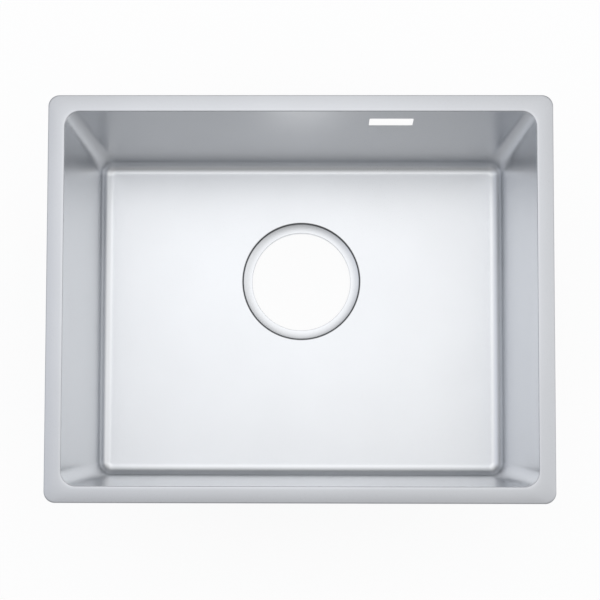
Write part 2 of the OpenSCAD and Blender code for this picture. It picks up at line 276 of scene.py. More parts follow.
def on_wall(points, wall, along):
    """Moves local points in mm onto a wall's outer face: tilted about Y by the wall's lean, moved out to the
    wall at the rim's height, then turned about Z to the wall's side."""
    bowl = bpy.context.scene.sink_bowl
    half = (bowl.length if wall in ("left", "right") else bowl.width) / 2 / MM
    lean = wall_lean(bowl)
    x, y, z = points[..., 0], points[..., 1] + along, points[..., 2]
    out = x * math.cos(lean) + z * math.sin(lean) + half + bowl.sheet / MM
    up = z * math.cos(lean) - x * math.sin(lean) + bowl.rim_height / MM
    a = math.radians(WALL_TURNS[wall])
    return np.stack([out * math.cos(a) - y * math.sin(a), out * math.sin(a) + y * math.cos(a), up], -1) * MM


def wall_lean(bowl):
    """How far a wall leans, from the draft over the height between mouth and cove."""
    return math.atan(bowl.draft / (bowl.rim_height - bowl.floor_height - bowl.cove))


# Materials

def node(tree, kind, at, settings=None, **inputs):
    """Adds a node at a place, with its settings, and its inputs as values or as links from other sockets.
    An input is named with _ for a space, or as i and its number."""
    made = tree.nodes.new(kind)
    made.location = at
    for key, value in (settings or {}).items():
        setattr(made, key, value)
    for key, value in inputs.items():
        numbered = key[0] == "i" and key[1:].isdigit()
        socket = made.inputs[int(key[1:])] if numbered else made.inputs[key.replace("_", " ")]
        if isinstance(value, bpy.types.NodeSocket):
            tree.links.new(value, socket)
        else:
            socket.default_value = value
    return made


def new_material(name):
    """An empty node material and its tree."""
    made = bpy.data.materials.new(name)
    made.use_nodes = True
    made.node_tree.nodes.clear()
    return made, made.node_tree


# Settings of a node that multiplies two colours
TIMES = {"data_type": "RGBA", "blend_type": "MULTIPLY"}


def surfaced(tree, base, tint, roughness, bump, metallic):
    """Ends a material: the base colour times the tint, in one shader with its roughness and its bump."""
    base = node(tree, "ShaderNodeMix", (-200, 250), TIMES, i0=1.0, i6=base, i7=tint.outputs["Result"])
    shader = node(tree, "ShaderNodeBsdfPrincipled", (50, 100), Metallic=metallic, Base_Color=base.outputs[2],
                  Roughness=roughness, Normal=bump.outputs["Normal"])
    node(tree, "ShaderNodeOutputMaterial", (350, 100), Surface=shader.outputs["BSDF"])


def satin_stainless(name, colour, roughness, spread, grain_mm, grain_height, cloud=0.03, ring=None):
    """Stainless steel, grade 304, blasted or satin polished after pressing: a soft even sheen with a fine
    grain that breaks highlights, and faint clouds where the tool bore harder. A ring (x, y, radius) adds
    painted shade that outlines a pressed step: darkened steel along its bend, where its crease is in shadow."""
    made, tree = new_material(name)
    where = node(tree, "ShaderNodeTexCoord", (-1200, 0)).outputs["Object"]
    # The real grain, about 0.1 mm, is too fine to show, so it is drawn at grain_mm
    grain = node(tree, "ShaderNodeTexNoise", (-900, -200), Vector=where, Scale=1 / (grain_mm * MM),
                 Detail=2.0, Roughness=0.6).outputs["Fac"]
    # Clouds of about 110 mm
    clouds = node(tree, "ShaderNodeTexNoise", (-900, 150), Vector=where, Scale=9.0,
                  Detail=3.0, Roughness=0.55)
    tint = node(tree, "ShaderNodeMapRange", (-650, 250), Value=clouds.outputs["Fac"],
                i1=0.3, i2=0.7, i3=1 - cloud, i4=1.0)
    rough = node(tree, "ShaderNodeMapRange", (-650, 0), Value=grain,
                 i1=0.3, i2=0.7, i3=roughness - spread, i4=roughness + spread)
    bump = node(tree, "ShaderNodeBump", (-650, -250), Strength=0.35, Distance=grain_height * MM, Height=grain)
    base = (*colour, 1)
    if ring:
        # Painted shade: dark for 0.3 mm beside the ring's middle line, back to the steel's colour at 1.5 mm
        flat = node(tree, "ShaderNodeVectorMath", (-1000, 550), {"operation": "MULTIPLY"},
                    i0=where, i1=(1, 1, 0))
        away = node(tree, "ShaderNodeVectorMath", (-840, 550), {"operation": "DISTANCE"},
                    i0=flat.outputs["Vector"], i1=(*ring[:2], 0))
        beside = node(tree, "ShaderNodeMath", (-680, 550), {"operation": "SUBTRACT"},
                      i0=away.outputs["Value"], i1=ring[2])
        beside = node(tree, "ShaderNodeMath", (-520, 550), {"operation": "ABSOLUTE"}, i0=beside.outputs[0])
        painted_shade = node(tree, "ShaderNodeMapRange", (-360, 550), {"interpolation_type": "SMOOTHSTEP"},
                    Value=beside.outputs[0], i1=0.3 * MM, i2=1.5 * MM, i3=0.17, i4=1.0)
        base = node(tree, "ShaderNodeMix", (-360, 300), TIMES, i0=1.0,
                    i6=base, i7=painted_shade.outputs["Result"]).outputs[2]
    surfaced(tree, base, tint, rough.outputs["Result"], bump, 1.0)
    return made


def plated_steel(name, colour, roughness, grain_mm, shadow):
    """Zinc-plated or bare pressed steel: brighter than rubber but greyer than the bowl, with the small
    crystal mottle of the plate and a darker film in the hollows of its colour."""
    made, tree = new_material(name)
    where = node(tree, "ShaderNodeTexCoord", (-1200, 0)).outputs["Object"]
    mottle = node(tree, "ShaderNodeTexVoronoi", (-900, 100), Vector=where, Scale=1 / (grain_mm * MM))
    # Haze of about 8 mm, as the bath leaves it
    haze = node(tree, "ShaderNodeTexNoise", (-900, -200), Vector=where, Scale=120.0, Detail=3.0)
    mixed = node(tree, "ShaderNodeMix", (-650, 150), {"data_type": "FLOAT"}, i0=0.6,
                 i2=mottle.outputs["Distance"], i3=haze.outputs["Fac"]).outputs[0]
    tint = node(tree, "ShaderNodeMapRange", (-450, 200), Value=mixed, i1=0.2, i2=0.75, i3=shadow, i4=1.0)
    rough = node(tree, "ShaderNodeMapRange", (-450, -100), Value=mixed,
                 i1=0.2, i2=0.75, i3=roughness + 0.08, i4=roughness - 0.05)
    bump = node(tree, "ShaderNodeBump", (-250, -250), Strength=0.2, Distance=0.04 * MM, Height=mixed)
    surfaced(tree, (*colour, 1), tint, rough.outputs["Result"], bump, 1.0)
    return made


def rubber_sheet(name, colour, roughness, cell_mm, depth_mm, spread):
    """Rubber or foam: dull, dark, with pores or a moulded pebble of cell_mm that catch a little light."""
    made, tree = new_material(name)
    where = node(tree, "ShaderNodeTexCoord", (-1200, 0)).outputs["Object"]
    cells = node(tree, "ShaderNodeTexVoronoi", (-900, 0), Vector=where, Scale=1 / (cell_mm * MM))
    # Talc and dust in patches of about 25 mm
    dust = node(tree, "ShaderNodeTexNoise", (-900, -300), Vector=where, Scale=40.0, Detail=4.0)
    tint = node(tree, "ShaderNodeMapRange", (-600, 150), Value=dust.outputs["Fac"],
                i1=0.3, i2=0.7, i3=1 - spread, i4=1 + spread)
    bump = node(tree, "ShaderNodeBump", (-350, -150), Strength=0.6, Distance=depth_mm * MM,
                Height=cells.outputs["Distance"])
    surfaced(tree, (*colour, 1), tint, roughness, bump, 0.0)
    return made


# Bowl

def bowl_rows(bowl, grow, cuts):
    """The bowl's wall and cove as rows of corner centres, corner radius and height, moved out by grow.

    The wall is the straight line from the mouth that touches the cove's circle; the cove is an arc of
    radius cove + grow about a centre that stands cove above the floor. cuts are the wall's row heights.
    """
    inset = bowl.draft + bowl.cove
    drop = bowl.rim_height - bowl.floor_height - bowl.cove
    lean = math.acos((bowl.cove + grow) / math.hypot(inset + grow, drop)) - math.atan2(drop, inset + grow)
    reach = bowl.cove + grow
    centre = np.array([bowl.length, bowl.width]) / 2 - inset - bowl.floor_corner
    mouth = np.array([bowl.length, bowl.width]) / 2 - bowl.mouth_corner
    foot = bowl.floor_height + bowl.cove - reach * math.sin(lean)
    cuts = np.append(cuts, foot)
    share = ((bowl.rim_height - cuts) / (bowl.rim_height - foot))[:, None]
    radius = (bowl.mouth_corner + grow) * (1 - share) + (bowl.floor_corner + reach * math.cos(lean)) * share
    wall = np.hstack([mouth + (centre - mouth) * share, radius, cuts[:, None]])
    turn = np.linspace(lean, np.pi / 2, COVE_STEPS + 1)[1:]
    cove = np.stack([np.full(COVE_STEPS, centre[0]), np.full(COVE_STEPS, centre[1]),
                     bowl.floor_corner + reach * np.cos(turn),
                     bowl.floor_height + bowl.cove - reach * np.sin(turn)], 1)
    return np.vstack([wall, cove])


def drain_profile(bowl):
    """The drain's recess and lip in section, as radius and height, from the floor inwards and back below.

    Over the recess's edge it bends down to step_slope, runs straight, and bends up again to dish_slope. From
    there one wide hollow arc flattens it to the ledge's fall at the lip. The straight's length and the wide
    arc's radius are the two that bring the section to the lip's place: two sums, of runs and of drops, are
    solved for them. Below, each arc has the same centre and a radius that is one sheet more or less. The
    lip turns down over half a sheet.
    """
    steps, sheet, floor = BEND_STEPS, bowl.sheet, bowl.floor_height
    hole, lip_top = bowl.drain_radius, bowl.ledge_height - bowl.ledge_fall
    steep, dish = bowl.step_slope, bowl.dish_slope
    flat = math.atan2(bowl.ledge_fall, bowl.recess_radius - hole)
    small = bowl.step_hollow
    run = bowl.recess_radius - hole - sheet * math.sin(steep) - small * (math.sin(steep) - math.sin(dish))
    drop = floor - lip_top - sheet * (1 - math.cos(steep)) - small * (math.cos(dish) - math.cos(steep))
    straight, wide = np.linalg.solve([[math.cos(steep), math.sin(dish) - math.sin(flat)],
                                      [math.sin(steep), math.cos(flat) - math.cos(dish)]], [run, drop])
    edge = arc(bowl.recess_radius + sheet, floor - sheet, sheet, 90, 90 + math.degrees(steep), steps)
    foot = edge[-1] + straight * np.array([-math.cos(steep), -math.sin(steep)])
    near = foot + small * np.array([-math.sin(steep), math.cos(steep)])
    far = near + (wide - small) * np.array([-math.sin(dish), math.cos(dish)])
    at_steep, at_dish, at_flat = (270 + math.degrees(slope) for slope in (steep, dish, flat))
    hollow = arc(*near, small, at_steep, at_dish, steps)
    shallow = arc(*far, wide, at_dish, at_flat, steps)[1:]
    lip = arc(hole + sheet / 2, lip_top - sheet / 2, sheet / 2, 90, 180, steps)
    burr = 0.15 * MM
    end = np.array([[hole, burr * 2], [hole, burr], [hole + burr, 0], [hole + sheet - burr, 0],
                    [hole + sheet, burr], [hole + sheet, burr * 2]])
    under_lip = np.array([[hole + sheet, lip_top - 2 * sheet], [hole + 1.4 * sheet, lip_top - 1.2 * sheet]])
    shallow_under = arc(*far, wide + sheet, at_flat, at_dish, steps)[1:]
    hollow_under = arc(*near, small + sheet, at_dish, at_steep, steps)[1:]
    under = np.array([[bowl.recess_radius + sheet, floor - sheet]])
    return np.vstack([edge, hollow, shallow, lip, end, under_lip, shallow_under, hollow_under, under])


def slot_outline(bowl, across, down):
    """The overflow slot's outline, anticlockwise from its lower left corner, with as many points as the block
    of wall around it: each side is straight between two half corners of two steps each."""
    half_x, half_z, r = bowl.slot_length / 2, bowl.slot_height / 2, bowl.slot_corner
    sides = []
    for quarter, (count, long, short) in enumerate([(across, half_x, half_z), (down, half_z, half_x)] * 2):
        first = arc(-long + r, -short + r, r, 225, 270, 2)
        last = arc(long - r, -short + r, r, 270, 315, 2)
        middle = np.linspace(first[-1], last[0], count - 3)[1:-1]
        side = np.vstack([first, middle, last[:-1]])
        a = quarter * np.pi / 2
        sides.append(side @ np.array([[math.cos(a), math.sin(a)], [-math.sin(a), math.cos(a)]]))
    outline = np.vstack(sides)
    return outline[:, 0] + bowl.slot_place, outline[:, 1] + bowl.slot_top - half_z


def block_edge(grid):
    """The edge of a block of a grid, anticlockwise from its first row and column, each corner once."""
    return np.concatenate([grid[0, :-1], grid[:-1, -1], grid[-1, :0:-1], grid[:0:-1, 0]])


def floor_patches(bowl, place, direction, cuts):
    """The floor's two faces as rings from the cove's foot to the recess, spaced evenly round the drain, and
    the drain's section between them."""
    drain = np.array([0, bowl.drain_back, 0])
    flat = 1.5 * MM
    profile = drain_profile(bowl)
    angle = math.atan2(-1, 1) + np.linspace(0, 2 * np.pi, len(place), endpoint=False)
    turn = np.stack([np.cos(angle), np.sin(angle)], 1)
    patches = []
    for grow, height, rim in ((0.0, bowl.floor_height, profile[0, 0]),
                              (bowl.sheet, bowl.floor_height - bowl.sheet, profile[-1, 0])):
        last = bowl_rows(bowl, grow, cuts)[-1:]
        foot = lofted(place, direction, *last.T)[0]
        inner_foot = lofted(place, direction, last[:, 0] - flat, last[:, 1] - flat, last[:, 2], [height])[0]
        circle = np.hstack([rim * turn, np.full((len(turn), 1), height)]) + drain
        wide = circle + np.hstack([turn, np.zeros((len(turn), 1))]) * flat
        share = np.linspace(0, 1, 9)[:, None, None]
        between = inner_foot * (1 - share) + wide * share
        patches.append((np.concatenate([foot[None], between, circle[None]]), True))
    heights = np.broadcast_to(profile[:, None, 1:], (len(profile), len(turn), 1))
    patches.append((np.concatenate([profile[:, None, :1] * turn[None], heights], 2) + drain, True))
    return patches


class SINK_OT_bowl(bpy.types.Operator):
    """Press the bowl: walls, cove, floor, drain recess and overflow slot in one sheet"""
    bl_idname = "sink.bowl"
    bl_label = "Bowl"

    def execute(self, context):
        bowl = context.scene.sink_bowl
        # The drain recess's step gets a ring of painted shade, the shadow of its crease
        steel = satin_stainless("Stainless_satin_blasted", bowl.steel, 0.30, 0.03, 0.55, 0.03,
                                ring=(0, bowl.drain_back, bowl.recess_radius + 0.2 * MM))
        rim_under = bowl.rim_height - context.scene.sink_rim.sheet

        # Places along a side, with a block of across by down quads around the slot and its margin
        margin = 10 * MM
        across, down = 16, 12
        half_side = bowl.length / 2 - bowl.mouth_corner - 2.5 * MM
        block_x = [(bowl.slot_place - bowl.slot_length / 2 - margin) / half_side,
                   (bowl.slot_place + bowl.slot_length / 2 + margin) / half_side]
        along_x = np.concatenate([[-1], np.linspace(-1 + NEAR, block_x[0], 22),
                                  np.linspace(*block_x, across + 1)[1:],
                                  np.linspace(block_x[1], 1 - NEAR, 9)[1:], [1]])
        along_y = np.concatenate([[-1], np.linspace(-1 + NEAR, 1 - NEAR, 25), [1]])
        place, direction = loop(along_x, along_y, CORNER_STEPS)

        # Rows down the wall, with the block around the slot between two of them
        block_z = (bowl.slot_top + margin, bowl.slot_top - bowl.slot_height - margin)
        wall_foot = bowl.floor_height + bowl.cove + 2 * MM
        cuts = np.concatenate([[rim_under, rim_under - 0.5 * MM],
                               np.linspace(rim_under - 4 * MM, block_z[0], 3),
                               np.linspace(*block_z, down + 1)[1:],
                               np.linspace(block_z[1], wall_foot, 9)[1:]])
        first_row, last_row = 4, 4 + down
        back_from = len(along_y) + CORNER_STEPS - 1
        column = back_from + int(np.argmin(np.abs(along_x[::-1] - block_x[1])))
        patches, holes = [], []
        soft, inset = 0.2 * MM, 1.2 * MM
        for grow in (0.0, bowl.sheet):
            rows = bowl_rows(bowl, grow, cuts)
            skin = lofted(place, direction, *rows.T)
            patches += [(skin[:first_row + 1], True), (skin[last_row:], True)]
            ring = np.roll(skin[first_row:last_row + 1], -column, axis=1)
            patches.append((np.concatenate([ring[:, across:], ring[:, :1]], 1), False))
            edge = block_edge(ring[:, :across + 1][::-1, ::-1])
            x, z = slot_outline(bowl, across, down)
            wall_at = np.interp(z, rows[::-1, 3], (rows[:, 1] + rows[:, 2])[::-1])
            hole = np.stack([x, wall_at, z], 1)
            outward = (hole - edge) / np.linalg.norm(hole - edge, axis=1)[:, None]
            between = hole + (edge - hole) * 0.5
            patches.append((np.stack([edge, between, hole - outward * inset, hole - outward * soft]), True))
            holes.append((hole, outward))

        # The slot's punched edge: from the inner face over two small bends to the outer face
        (inner, inner_out), (outer, outer_out) = holes
        through = np.array([0, 1, 0])
        patches.append((np.stack([inner - inner_out * soft, inner + through * soft, (inner + outer) / 2,
                                  outer - through * soft, outer - outer_out * soft]), True))
        patches += floor_patches(bowl, place, direction, cuts)

        # The mouth's cut edge, which the rim covers
        mouth = [lofted(place, direction, *bowl_rows(bowl, grow, cuts)[:1].T)[0]
                 for grow in (0.0, bowl.sheet)]
        patches.append((np.stack(mouth), True))
        piece("bowl_shell", patches, "sink", steel, "bowl")
        return {"FINISHED"}


# Rim and seal

def swept_frame(bowl, rim, profile, side):
    """A section carried round the rim: its first number is the distance in from the rim's outer outline, its
    second the height. Corner centres and radius pass evenly from the outer outline to the mouth's."""
    place, direction = loop(side, side, CORNER_STEPS)
    share = profile[:, 0] / rim.width
    half = np.array([bowl.length, bowl.width]) / 2
    outer = half + rim.width - rim.corner
    inner = half - bowl.mouth_corner
    centre = outer + (inner - outer) * share[:, None]
    radius = rim.corner + (bowl.mouth_corner - rim.corner) * share
    return lofted(place, direction, centre[:, 0], centre[:, 1], radius, profile[:, 1])


def rim_profile(bowl, rim):
    """The rim in section: the folded edge, a crown that falls as the square of the distance from its crest,
    the bend at the mouth, and back along the underside."""
    top, under = bowl.rim_height, bowl.rim_height - rim.sheet
    low, r = bowl.rim_height - rim.edge, rim.roundness
    outer = np.array([[rim.sheet, low], [0.3 * MM, low], [0.08 * MM, low + 0.08 * MM], [0, low + 0.3 * MM],
                      [0, top - rim.outer_fall - r]])
    over = arc(r, top - rim.outer_fall - r, r, 180, 96, 9)[1:]
    rise = np.linspace(r + 0.35 * MM, rim.crest, 14)
    fall = np.linspace(rim.crest, rim.width - 0.8 * MM, 6)[1:]
    rise_z = top - rim.outer_fall * ((rim.crest - rise) / (rim.crest - r)) ** 2
    fall_z = top - rim.inner_fall * ((fall - rim.crest) / (rim.width - rim.crest)) ** 2
    last = fall_z[-1]
    bend = np.array([[rim.width - 0.45 * MM, last - 0.11 * MM], [rim.width - 0.18 * MM, last - 0.29 * MM],
                     [rim.width, last - 0.6 * MM], [rim.width, under]])
    back = np.array([[rim.width - 1 * MM, under], [rim.sheet + 0.6 * MM, under],
                     [rim.sheet + 0.15 * MM, under - 0.15 * MM], [rim.sheet, under - 0.6 * MM],
                     [rim.sheet, low]])
    return np.vstack([outer, over, np.stack([rise, rise_z], 1), np.stack([fall, fall_z], 1), bend, back])


class SINK_OT_rim(bpy.types.Operator):
    """Fold the rim: a crowned frame with a turned-down outer edge and a bend at the mouth"""
    bl_idname = "sink.rim"
    bl_label = "Rim"

    def execute(self, context):
        bowl, rim = context.scene.sink_bowl, context.scene.sink_rim
        # Painted shade: the bowl's satin steel at the same roughness, with the rim's darker base colour
        steel = satin_stainless("Stainless_satin_rim_painted_shade", rim.steel, 0.30, 0.03, 0.5, 0.02)
        side = np.concatenate([[-1], np.linspace(-1 + NEAR, 1 - NEAR, 17), [1]])
        skin = swept_frame(bowl, rim, rim_profile(bowl, rim), side)
        piece("rim_folded", [(skin, True)], "sink", steel, "rim_frame")
        return {"FINISHED"}


class SINK_OT_seal(bpy.types.Operator):
    """Lay the foam strip that seals the rim to the worktop"""
    bl_idname = "sink.seal"
    bl_label = "Rim seal"

    def execute(self, context):
        bowl, rim = context.scene.sink_bowl, context.scene.sink_rim
        # Polyethylene foam: closed cells of 0.6 mm on a dull dark skin
        foam = rubber_sheet("Polyethylene_foam_strip", rim.foam, 0.9, 0.6, 0.12, 0.12)
        top = bowl.rim_height - rim.sheet
        start, end = rim.sheet + rim.seal_gap, rim.sheet + rim.seal_gap + rim.seal_width
        low, soft = top - rim.seal_height, 0.8 * MM
        round_in = arc(end - soft, low + soft, soft, 0, -90, 5)
        round_out = arc(start + soft, low + soft, soft, -90, -180, 5)
        section = np.vstack([[[start, top], [end, top]], round_in, round_out, [[start, top]]])
        side = np.concatenate([[-1], np.linspace(-0.99, 0.99, 21), [1]])
        skin = swept_frame(bowl, rim, section, side)
        strip = piece("seal_strip", [(skin, True)], "sink", foam, "rim_seal")
        return {"FINISHED"}


# Pads

def pad_patches(length_mm, width_mm, thick_mm, corner_mm):
    """A pad lying on z = 0, in mm: stacked rounded rectangles whose upper edge is an arc of a third of the
    thickness, closed above and below by rings that shrink to a line."""
    side = np.linspace(-1, 1, 13)
    place, direction = loop(side, side, 8)
    soft = thick_mm / 3
    bend = arc(0, thick_mm - soft, soft, 0, 90, 5)
    inset = np.concatenate([[0, 0], soft - bend[1:, 0]])
    height = np.concatenate([[0, thick_mm - soft], bend[1:, 1]])
    centre = np.tile([length_mm / 2 - corner_mm, width_mm / 2 - corner_mm], (len(inset), 1))
    skin = lofted(place, direction, centre[:, 0], centre[:, 1], corner_mm - inset, height)
    return [(skin, True), (shut(skin[0], 0, 5), True), (shut(skin[-1], 0, 5), True)]


class SINK_OT_pads(bpy.types.Operator):
    """Stick the sound pads under the floor and on the walls"""
    bl_idname = "sink.pads"
    bl_label = "Sound pads"

    def execute(self, context):
        fit = context.scene.sink_fittings
        # Butyl rubber sheet, calendered: dull mid grey with a fine pebble of about a millimetre
        rubber = rubber_sheet("Butyl_rubber_sheet", fit.pad_colour, 0.75, 1.1, 0.1, 0.08)
        thick, corner = fit.pad_sheet / MM, fit.pad_corner / MM
        for name in ("floor_pad_left", "floor_pad_right", "floor_pad_front"):
            low, high = (np.array(v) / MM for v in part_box(name))
            middle, size = (low + high) / 2, high - low
            moved = [((grid * [1, 1, -1] + [middle[0], middle[1], high[2]]) * MM, closed)
                     for grid, closed in pad_patches(size[0], size[1], thick, corner)]
            piece(f"{name}_rubber", moved, "sink", rubber, name)
        # Each wall's pad, long by high in mm, with its upper edge 100 mm below the rim's top
        top = 100
        sizes = {"front": (260, 70), "back": (260, 70), "left": (190, 50), "right": (190, 50)}
        for wall, (long, high) in sizes.items():
            upright = [(np.stack([g[..., 2] + FILM, g[..., 0], g[..., 1] - top - high / 2], -1), closed)
                       for g, closed in pad_patches(long, high, thick, corner)]
            moved = [(on_wall(grid, wall, 0), closed) for grid, closed in upright]
            piece(f"wall_pad_{wall}_rubber", moved, "sink", rubber, f"wall_pad_{wall}")
        return {"FINISHED"}


# Clamps

def ribbon(path, half_width, thick, corner=0.18):
    """A strip of sheet bent along a path in the x-z plane, in mm: at each point a flat rounded section of the
    sheet's thickness, as wide as half_width says, square to the path. Its ends are closed flat."""
    ahead = np.gradient(path, axis=0)
    ahead /= np.linalg.norm(ahead, axis=1)[:, None]
    normal = np.stack([-ahead[:, 1], ahead[:, 0]], 1)
    h, c = thick / 2, corner
    section = np.vstack([arc(-c, h - c, c, 90, 0, 3), arc(-c, c - h, c, 0, -90, 3)])
    across = np.concatenate([section[:, 0], -section[::-1, 0]])
    sign = np.concatenate([np.ones(len(section)), -np.ones(len(section))])
    up = np.concatenate([section[:, 1], section[::-1, 1]])
    y = sign[None] * half_width[:, None] + across[None]
    xz = path[:, None] + normal[:, None] * up[None, :, None]
    skin = np.stack([xz[..., 0], y, xz[..., 1]], -1)
    return [(skin, True), (shut(skin[0], 1), True), (shut(skin[-1], 1), True)]


def densified(points, step):
    """A polyline's points with more set evenly between them, at most step apart."""
    points = np.array(points, float)
    out = [points[:1]]
    for a, b in zip(points[:-1], points[1:]):
        count = max(1, int(np.ceil(np.linalg.norm(b - a) / step)))
        out.append(a + (b - a) * (np.arange(1, count + 1) / count)[:, None])
    return np.vstack(out)


def clamp_places(fit):
    """Where a clamp's sheets lie in mm, as the solids have them: how far off the wall each one's inner face
    is, and how high under the rim's top the rail's lip, the bracket's ear and the arm are."""
    bracket, rail, ear_bend, rivet_room = fit.bracket_sheet / MM, fit.rail_sheet / MM, 0.8, 1.2
    lip_top, ear_drop = -19, 40
    hook = FILM + PLAY
    lip = hook + bracket + PLAY
    plate = lip + rail + PLAY
    ear = plate + bracket + ear_bend
    pivot = ear + 2 + rivet_room
    ear_z = lip_top - ear_drop
    arm_z = ear_z - bracket - PLAY
    return {"hook": hook, "lip": lip, "plate": plate, "ear": ear, "pivot": pivot, "bend": ear_bend,
            "lip_top": lip_top, "ear_z": ear_z, "arm_z": arm_z}


def on_clamps(part, finish, body, patches, material, sharp=32):
    """Seats a piece on each clamp's wall. Its node is the clamp's name and part, its own name adds finish,
    and it rides on the sink or on that clamp's own body."""
    for name, wall, along in CLAMPS:
        seated = [(on_wall(grid, wall, along), closed) for grid, closed in patches]
        carrier = body if body == "sink" else f"{name}_{body}"
        piece(f"{name}_{part}_{finish}", seated, carrier, material, f"{name}_{part}", sharp)


class SINK_OT_rails(bpy.types.Operator):
    """Weld the clamp rails to the walls"""
    bl_idname = "sink.rails"
    bl_label = "Clamp rails"

    def execute(self, context):
        fit = context.scene.sink_fittings
        at = clamp_places(fit)
        thick = fit.rail_sheet / MM
        # Stainless strip as rolled and spot welded: greyer and glossier than the blasted bowl
        steel = plated_steel("Stainless_strip_mill_finish", linear("#b9bcc0"), 0.32, 0.9, 0.86)
        # Down the lip, in over a joggle to the wall, and down the welded foot
        lip_height, foot_height = 8, 9
        low, step = at["lip_top"] - lip_height, at["lip"] - FILM
        lip_x, foot_x = at["lip"] + thick / 2, FILM + thick / 2
        path = densified([[lip_x, at["lip_top"]], [lip_x, low - 0.1], [lip_x - 0.25, low - 0.5],
                          [foot_x + 0.25, low - step - 0.1], [foot_x, low - step - 0.6],
                          [foot_x, low - step - foot_height]], 1.5)
        width = np.full(len(path), fit.rail_length / MM / 2)
        on_clamps("rail", "strip", "sink", ribbon(path, width, thick), steel)
        return {"FINISHED"}


class SINK_OT_brackets(bpy.types.Operator):
    """Hook the brackets over the rails, with the rivet in each ear"""
    bl_idname = "sink.brackets"
    bl_label = "Brackets and rivets"

    def execute(self, context):
        fit = context.scene.sink_fittings
        at = clamp_places(fit)
        thick = fit.bracket_sheet / MM
        half = thick / 2
        zinc = plated_steel("Steel_zinc_plated_bracket", fit.zinc, 0.34, 0.7, 0.82)
        peened = plated_steel("Steel_rivet_peened", linear("#a9abae"), 0.42, 0.5, 0.8)
        hook_height, arm_half, ear_end = 6, 4.5, 4
        bend = (at["plate"] - at["hook"] - thick) / 2
        bend_z = at["lip_top"] - PLAY
        ear_half = arm_half + 0.25 + thick
        end_x = at["pivot"] + ear_end
        ear_z, plate_x = at["ear_z"], at["plate"] + half
        path = np.vstack([[[at["hook"] + half, at["lip_top"] - hook_height]],
                          arc(at["hook"] + thick + bend, bend_z, bend + half, 180, 0, 10),
                          densified([[plate_x, bend_z - 0.2], [plate_x, ear_z + at["bend"]]], 2.0),
                          arc(at["ear"], ear_z + at["bend"], at["bend"] + half, 180, 270, 7)[1:],
                          densified([[at["ear"] + 0.1, ear_z - half], [end_x, ear_z - half]], 0.8)])
        # The plate is full width down to a shoulder, narrows to the ear, and ends in rounded corners
        wide, corner_r, flat = fit.bracket_width / MM / 2, 2.2, 9.0
        z = path[:, 1]
        shoulder = np.clip((z - (ear_z + 3)) / 5, 0, 1)
        width = ear_half + (wide - ear_half) * (3 * shoulder ** 2 - 2 * shoulder ** 3)
        from_end = np.where(z < ear_z + 0.2, np.clip(end_x - path[:, 0], 0, None), flat)
        sunk = 1 - np.clip(from_end / corner_r, 0, 1)
        width = width - corner_r * (1 - np.sqrt(np.clip(1 - sunk ** 2, 0, 1)))
        # The stop tab hangs from the ear's side, down past the arm
        arm_low = at["arm_z"] - fit.arm_sheet / MM
        tab_top = ear_z - half
        tab_path = densified([[at["ear"] + 0.3, 0], [end_x - 0.4, 0]], 1.0)
        tab = ribbon(tab_path, np.full(len(tab_path), (tab_top - arm_low) / 2), thick)
        tab_z = (tab_top + arm_low) / 2
        tab = [(np.stack([g[..., 0], ear_half - half + g[..., 2], tab_z + g[..., 1]], -1), closed)
               for g, closed in tab]
        # The rivet: two peened domes on a shank, as radius and height
        low = arm_low - PLAY
        dome = np.array([[0, 1.0], [1.1, 0.95], [2.1, 0.75], [2.8, 0.42], [3.2, 0.12], [3.2, 0]])
        section = np.vstack([dome + [0, ear_z], [[2, ear_z], [2, low]], dome[::-1] * [1, -1] + [0, low]])
        rivet = [(turned(section[:, 0], section[:, 1], 28, at["pivot"], 0), True)]
        on_clamps("bracket", "sheet", "bracket", ribbon(path, width, thick) + tab, zinc)
        on_clamps("rivet", "peened", "bracket", rivet, peened, 50)
        return {"FINISHED"}


class SINK_OT_arms(bpy.types.Operator):
    """Hang the swinging arms on their rivets"""
    bl_idname = "sink.arms"
    bl_label = "Arms"

    def execute(self, context):
        fit = context.scene.sink_fittings
        at = clamp_places(fit)
        zinc = plated_steel("Steel_zinc_plated_arm", linear("#bfc2c8"), 0.36, 0.8, 0.82)
        thick, reach, r = fit.arm_sheet / MM, fit.arm_reach / MM, 4.5
        # A bar with round ends: an outline that shrinks by the bend of its edges, above and below
        side = np.linspace(-1, 1, 9)
        place, direction = loop(np.array([0.0]), side, 12)
        soft, face = 0.35, 2.6
        upper, lower = arc(0, -soft, soft, 90, 0, 3), arc(0, soft - thick, soft, 0, -90, 3)
        inset = np.concatenate([[soft + face], soft - upper[:, 0], soft - lower[:, 0], [soft + face]])
        height = np.concatenate([[0], upper[:, 1], lower[:, 1], [-thick]])
        centre_x, centre_y = np.zeros(len(inset)), np.full(len(inset), reach / 2)
        skin = lofted(place, direction, centre_x, centre_y, r - inset, height)
        ends = [(shut(row, 1), True) for row in (skin[0], skin[-1])]
        bar = [(g + [at["pivot"], -reach / 2, at["arm_z"]], closed) for g, closed in [(skin, True)] + ends]
        # The pressed boss that carries the thread, with a rolled end, as radius and height
        low = at["arm_z"] - thick - 4
        top = low + thick + 3.9
        boss = np.array([[2.6, top], [4.1, low + 4.0], [4.1, low + 0.5], [3.95, low + 0.15], [3.6, low],
                         [3.0, low], [2.75, low + 0.2], [2.6, low + 0.6], [2.6, top]])
        boss = turned(boss[:, 0], boss[:, 1], 28, at["pivot"], -reach)
        on_clamps("arm", "bar", "arm", bar + [(boss, True)], zinc)
        return {"FINISHED"}


